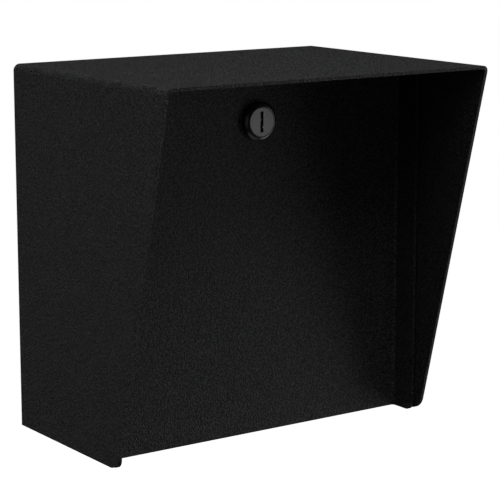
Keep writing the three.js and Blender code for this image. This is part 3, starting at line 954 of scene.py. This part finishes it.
class LOCKBOX_OT_lock_body(bpy.types.Operator):
    """Make the lock's body: the domed bezel and the threaded barrel with its two flats"""

    bl_idname = "lock_box.lock_body"
    bl_label = "Lock body"

    def execute(self, context):
        sizes = context.scene.lock_box_lock
        door_front = DOOR_BACK - context.scene.lock_box_sheet.thickness
        lug_length, chamfer, lip = 1.5 * MM, 0.8 * MM, 0.08 * MM
        barrel_back = LOCK_HIGH.y - lug_length
        head_bore = PLUG_RADIUS + sizes.head_gap
        rows = [(head_bore, LOCK_FRONT + lip), (head_bore + lip, LOCK_FRONT)]
        rows += [(sizes.rim, LOCK_FRONT), *self.dome(sizes)]
        rows += [(BEZEL_RADIUS, door_front), (sizes.barrel - sizes.thread, door_front)]
        rows += self.thread(sizes, DOOR_BACK, barrel_back)
        rows += [(sizes.barrel - chamfer, barrel_back), (sizes.bore, barrel_back)]
        head_back = LOCK_FRONT + sizes.head + lip
        rows += [(sizes.bore, head_back), (head_bore, head_back)]
        body = spun("lock_housing", rows, 96, LOCK_AXIS, closed=True)
        for vertex in body.data.vertices:
            if vertex.co.y > door_front + 0.01 * MM:
                vertex.co.x = self.flattened(sizes, vertex.co.x)
        lug = self.lug(sizes, barrel_back)
        settled(joined(body, lug), DOOR, "lock_shell", "lock_body", crease=radians(38))
        return {"FINISHED"}

    def flattened(self, sizes, x):
        """A place across the barrel, brought in to the flat that it lies beyond."""
        return LOCK_X + max(-sizes.flat, min(sizes.flat, x - LOCK_X))

    def dome(self, sizes):
        """The bezel's crowned slope outwards from its rim, and the round at its brow."""
        start, brow, end = radians(8), radians(48), radians(90)
        rounding = 1.07 * MM
        reach = BEZEL_RADIUS - rounding * (1 - sin(brow)) - sizes.rim
        crown = reach / (sin(brow) - sin(start))
        rows = [(sizes.rim, 0.0)]
        for bend, low, high, steps in ((crown, start, brow, 12), (rounding, brow, end, 8)):
            radius, depth = rows[-1]
            for part in range(1, steps + 1):
                turn = low + (high - low) * part / steps
                across, along = bend * (sin(turn) - sin(low)), bend * (cos(low) - cos(turn))
                rows.append((radius + across, depth + along))
        return [(radius, LOCK_FRONT + depth) for radius, depth in rows[1:]]

    def thread(self, sizes, front, back):
        """Rows of a V thread, whose crest runs round the barrel once for each pitch."""
        samples, run_in, run_out, bluntness = 6, 0.5, 1.5, 1.35
        count = round((back - front) / sizes.pitch * samples)

        def row(along):
            def at(turn):
                phase = (along / sizes.pitch + turn / (2 * pi)) % 1
                rise = (along - front) / (run_in * sizes.pitch)
                fall = (back - along) / (run_out * sizes.pitch)
                crest = max(min(1, fall, rise), 0) * min(1, bluntness * (1 - abs(2 * phase - 1)))
                return sizes.barrel - sizes.thread * (1 - crest), along
            return at

        return [row(front + (back - front) * index / count) for index in range(count + 1)]

    def lug(self, sizes, barrel_back):
        """The arc at the end of the barrel that the stop washer's tab turns against."""
        start, end, steps = radians(108), radians(342), 40
        outer, inner, root = sizes.barrel - 0.4 * MM, 7 * MM, 0.3 * MM
        outline = arc((LOCK_X, LOCK_Z), outer, start, end, steps)
        outline += arc((LOCK_X, LOCK_Z), inner, end, start, steps)
        section = [(self.flattened(sizes, u), 2 * LOCK_Z - v) for u, v in outline]
        lug = prism("stop_lug", section, "Y", barrel_back - root, LOCK_HIGH.y)
        return softened(lug, 0.15 * MM, segments=2)


class LOCKBOX_OT_lock_nut(bpy.types.Operator):
    """Make the nut and the washer that clamp the lock to the door"""

    bl_idname = "lock_box.lock_nut"
    bl_label = "Lock nut and washer"

    def execute(self, context):
        sizes = context.scene.lock_box_lock
        corner = (NUT_HIGH.x - NUT_LOW.x) / 2
        across = (NUT_HIGH.z - NUT_LOW.z) / 2
        section = arc((LOCK_X, LOCK_Z), corner, 0, radians(300), 5)
        nut = prism("hex_nut", section, "Y", NUT_LOW.y, NUT_HIGH.y)
        chamfer = (corner - across) * tan(radians(30)) + 0.15 * MM
        face = across - 0.2 * MM
        low, high = NUT_LOW.y, NUT_HIGH.y
        hull = [(0, low), (face, low), (corner, low + chamfer)]
        hull += [(corner, high - chamfer), (face, high), (0, high)]
        combined(nut, spun("nut_hull", hull, 96, LOCK_AXIS), "INTERSECT")
        bore, entry = sizes.barrel + 0.05 * MM, 0.5 * MM
        hole = [(0, low - MM), (bore + entry + MM, low - MM), (bore, low + entry)]
        hole += [(bore, high - entry), (bore + entry + MM, high + MM), (0, high + MM)]
        combined(nut, spun("nut_hole", hole, 96, LOCK_AXIS), "DIFFERENCE")
        softened(nut, 0.12 * MM, crease=radians(25), segments=2)
        settled(nut, DOOR, "zinc_steel", "lock_nut", crease=radians(32))
        low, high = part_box("lock_washer")
        outer = (high.x - low.x) / 2
        bore, edge = sizes.barrel + 0.2 * MM, 0.15 * MM
        rows = [(bore + edge, low.y), (outer - edge, low.y), (outer, low.y + edge)]
        rows += [(outer, high.y - edge), (outer - edge, high.y), (bore + edge, high.y)]
        rows += [(bore, high.y - edge), (bore, low.y + edge)]
        washer = spun("clamp_washer", rows, 96, LOCK_AXIS, closed=True)
        settled(washer, DOOR, "zinc_steel", "lock_washer", crease=radians(38))
        return {"FINISHED"}


# ---- Lock plug ----

def key_slot(sizes):
    """An upright slot with one round ward high on its left and one low on its right."""
    half, edge = sizes.slot_height / 2, sizes.slot_width / 2
    inset, steps = 0.4 * sizes.ward, 20
    turn = acos(inset / sizes.ward)
    right = arc((edge - inset, -sizes.right_ward), sizes.ward, -turn, turn - 2 * pi, steps)
    left = arc((inset - edge, sizes.left_ward), sizes.ward, pi - turn, turn - pi, steps)
    outline = [(-edge, -half), (edge, -half), *right, (edge, half), (-edge, half), *left]
    return [(LOCK_X + u, LOCK_Z + v) for u, v in outline]


class LOCKBOX_OT_lock_plug(bpy.types.Operator):
    """Make the plug with its key slot, and the wafers and springs inside it"""

    bl_idname = "lock_box.lock_plug"
    bl_label = "Lock plug, wafers and springs"

    def execute(self, context):
        sizes = context.scene.lock_box_lock
        head_back = LOCK_FRONT + sizes.head
        edge = 0.2 * MM
        rows = [(0, LOCK_FRONT), (PLUG_RADIUS - edge, LOCK_FRONT)]
        for turn in quarter(4):
            rows.append((PLUG_RADIUS - edge * (1 - sin(turn)), LOCK_FRONT + edge * (1 - cos(turn))))
        rows += [(PLUG_RADIUS, head_back), (0, head_back)]
        head = spun("plug_face", rows, 96, LOCK_AXIS)
        slot = prism("slot", key_slot(sizes), "Y", LOCK_FRONT - MM, LOCK_FRONT + sizes.slot_depth)
        combined(head, slot, "DIFFERENCE")
        tail = refined("lock_plug", "plug_tail")
        low = Vector((PLUG_LOW.x - MM, head_back, PLUG_LOW.z - MM))
        combined(tail, block("tail_room", low, PLUG_HIGH + Vector((MM, MM, MM))), "INTERSECT")
        settled(joined(head, tail), KEY_PLUG, "lock_face", "lock_plug", crease=radians(35))
        for number, node in enumerate(WAFERS, 1):
            copied(node, f"wafer_plate_{number}", KEY_PLUG, "wafer_brass", 0.05 * MM, 2)
        for number, node in enumerate(SPRINGS, 1):
            self.spring(f"coil_spring_{number}", node, sizes)
        return {"FINISHED"}

    def spring(self, name, node, sizes):
        """A helix of round wire that fills its node's box."""
        low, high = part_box(node)
        middle = (low + high) / 2
        turns, around, sides = 4, 20, 8
        radius = (high.x - low.x) / 2 - sizes.wire
        inset, steps = 1.1 * sizes.wire, turns * around
        points = []
        for step in range(steps + 1):
            turn = 2 * pi * step / around
            height = low.z + inset + (high.z - low.z - 2 * inset) * step / steps
            out = Vector((cos(turn), sin(turn), 0))
            centre = Vector((middle.x, middle.y, height)) + out * radius
            for side in range(sides):
                spoke = 2 * pi * side / sides
                points.append(centre + sizes.wire * (out * cos(spoke) + Vector((0, 0, sin(spoke)))))
        faces = [[*range(sides)], [*range(len(points) - sides, len(points))]]
        for step in range(steps):
            for side in range(sides):
                after = (side + 1) % sides
                first, second = step * sides, (step + 1) * sides
                faces.append([first + side, first + after, second + after, second + side])
        settled(meshed(name, points, faces), KEY_PLUG, "spring_steel", node)


class LOCKBOX_OT_cam(bpy.types.Operator):
    """Make the cam, its stop washer and its screw"""

    bl_idname = "lock_box.cam"
    bl_label = "Cam"

    def execute(self, context):
        for node, name in (("lock_cam", "cam_plate"), ("cam_stop_washer", "stop_washer")):
            copied(node, name, KEY_PLUG, "zinc_steel", 0.2 * MM)
        radius = (SCREW_HIGH.x - SCREW_LOW.x) / 2
        shank, point, slot_depth, slot_half = 1.7 * MM, 0.5 * MM, 1.2 * MM, 0.5 * MM
        seat, crown = CAM_BACK, SCREW_HIGH.y
        drop, skirt = crown - seat, 0.35
        rows = [(0, SCREW_LOW.y), (shank - point, SCREW_LOW.y), (shank, SCREW_LOW.y + point)]
        rows += [(shank, seat), (radius, seat), (radius, seat + skirt * drop)]
        for turn in quarter(8)[:-1]:
            rise = skirt + (1 - skirt) * sin(turn)
            rows.append((radius * cos(turn) ** 0.6, seat + drop * rise))
        rows.append((0, crown))
        screw = spun("cam_fixing_screw", rows, 64, LOCK_AXIS)
        low = (LOCK_X - 2 * radius, crown - slot_depth, LOCK_Z - slot_half)
        high = (LOCK_X + 2 * radius, crown + MM, LOCK_Z + slot_half)
        combined(screw, block("driver_slot", low, high), "DIFFERENCE")
        softened(screw, 0.1 * MM, crease=radians(40), segments=2)
        settled(screw, KEY_PLUG, "zinc_steel", "cam_screw", crease=radians(40))
        return {"FINISHED"}


# ---- Stage ----

LIGHTS = (
    # name, azimuth to the left, elevation, distance, width, power; angles are in degrees
    ("top_light", 0, 90, 2.5, 1.3, 32.8),
    ("front_light", 0, 60, 2.5, 1.3, 15.5),
    ("left_back_light", 120, 0, 2.5, 1.3, 10.3),
    ("left_light", 90, 0, 2.5, 1.3, 4.1),
    ("left_fill", 60, 30, 2.5, 1.3, 3.7),
    ("camera_fill", 30, 0, 2.5, 2.0, 1.6),
    ("right_light", -60, 0, 2.5, 1.3, 7.7),
    ("right_side_light", -90, 0, 2.5, 1.3, 8.6),
    ("right_low_light", -60, -30, 2.0, 1.04, 4.2),
    ("low_fill", 0, -60, 1.5, 1.3, 1.4),
)


class LOCKBOX_OT_stage(bpy.types.Operator):
    """Make the floor, the lights and the camera"""

    bl_idname = "lock_box.stage"
    bl_label = "Stage"

    def execute(self, context):
        sizes = context.scene.lock_box_stage
        scene = context.scene
        floor_z, half = CAD_BOX[0].z - sizes.drop, 60.0
        corners = [(x * half, y * half, floor_z) for x, y in ((-1, -1), (1, -1), (1, 1), (-1, 1))]
        mesh = bpy.data.meshes.new("studio_floor")
        mesh.from_pydata(corners, [], [[0, 1, 2, 3]])
        floor = placed("studio_floor", mesh)
        pale = Finish("pale_floor", Base_Color=(0.8, 0.8, 0.8, 1), Roughness=0.9)
        pale.shader.inputs["Emission Color"].default_value = (1, 1, 1, 1)
        pale.shader.inputs["Emission Strength"].default_value = 1.0
        mesh.materials.append(pale.material)
        floor.visible_diffuse = False
        floor.visible_glossy = False
        for name, azimuth, elevation, distance, width, power in LIGHTS:
            lamp = bpy.data.lights.new(name, "AREA")
            lamp.shape = "DISK"
            lamp.size = width
            lamp.energy = power
            light = self.aimed(placed(name, lamp), radians(azimuth), radians(elevation), distance)
            light.visible_camera = False
        world = bpy.data.worlds.new("studio")
        world.use_nodes = True
        scene.world = world
        white = world.node_tree.nodes["Background"].inputs
        white["Color"].default_value = (1, 1, 1, 1)
        white["Strength"].default_value = 1.0
        for rays in ("diffuse", "glossy", "transmission", "scatter"):
            setattr(world.cycles_visibility, rays, False)
        camera = placed("camera", bpy.data.cameras.new("camera"))
        camera.data.angle = sizes.view
        camera.data.clip_start = 0.01
        camera.data.clip_end = 200
        scene.camera = self.aimed(camera, sizes.azimuth, sizes.elevation, sizes.distance)
        scene.view_settings.view_transform = "Standard"
        return {"FINISHED"}

    def aimed(self, item, azimuth, elevation, distance):
        """Puts a lamp or a camera at a turn to the left of the front, and aims it at the box."""
        out = (-sin(azimuth) * cos(elevation), -cos(azimuth) * cos(elevation), sin(elevation))
        way = Vector(out)
        item.location = (CAD_BOX[0] + CAD_BOX[1]) / 2 + way * distance
        item.rotation_euler = way.to_track_quat("Z", "Y").to_euler()
        return item


# ---- Panel ----

OPERATORS = (
    LOCKBOX_OT_stage,
    LOCKBOX_OT_hood,
    LOCKBOX_OT_plates,
    LOCKBOX_OT_housing_welds,
    LOCKBOX_OT_door,
    LOCKBOX_OT_hinge,
    LOCKBOX_OT_lock_body,
    LOCKBOX_OT_lock_nut,
    LOCKBOX_OT_lock_plug,
    LOCKBOX_OT_cam,
)


class LOCKBOX_PT_panel(bpy.types.Panel):
    """Lists the box's sizes and the operators that make its pieces"""

    bl_idname = "LOCKBOX_PT_panel"
    bl_label = "Lock box"
    bl_space_type = "VIEW_3D"
    bl_region_type = "UI"
    bl_category = "Lock box"

    def draw(self, context):
        for operator in OPERATORS:
            self.layout.operator(operator.bl_idname)
        for group, kind in GROUPS.items():
            box = self.layout.box()
            for name in kind.__annotations__:
                box.prop(getattr(context.scene, group), name)


def register():
    for kind in (*GROUPS.values(), *OPERATORS, LOCKBOX_PT_panel):
        bpy.utils.register_class(kind)
    for name, kind in GROUPS.items():
        setattr(bpy.types.Scene, name, PointerProperty(type=kind))


def unregister():
    for name in GROUPS:
        delattr(bpy.types.Scene, name)
    for kind in reversed((*GROUPS.values(), *OPERATORS, LOCKBOX_PT_panel)):
        bpy.utils.unregister_class(kind)


def main():
    register()
    for operator in OPERATORS:
        group, name = operator.bl_idname.split(".")
        getattr(getattr(bpy.ops, group), name)()


if __name__ == "__main__":
    main()
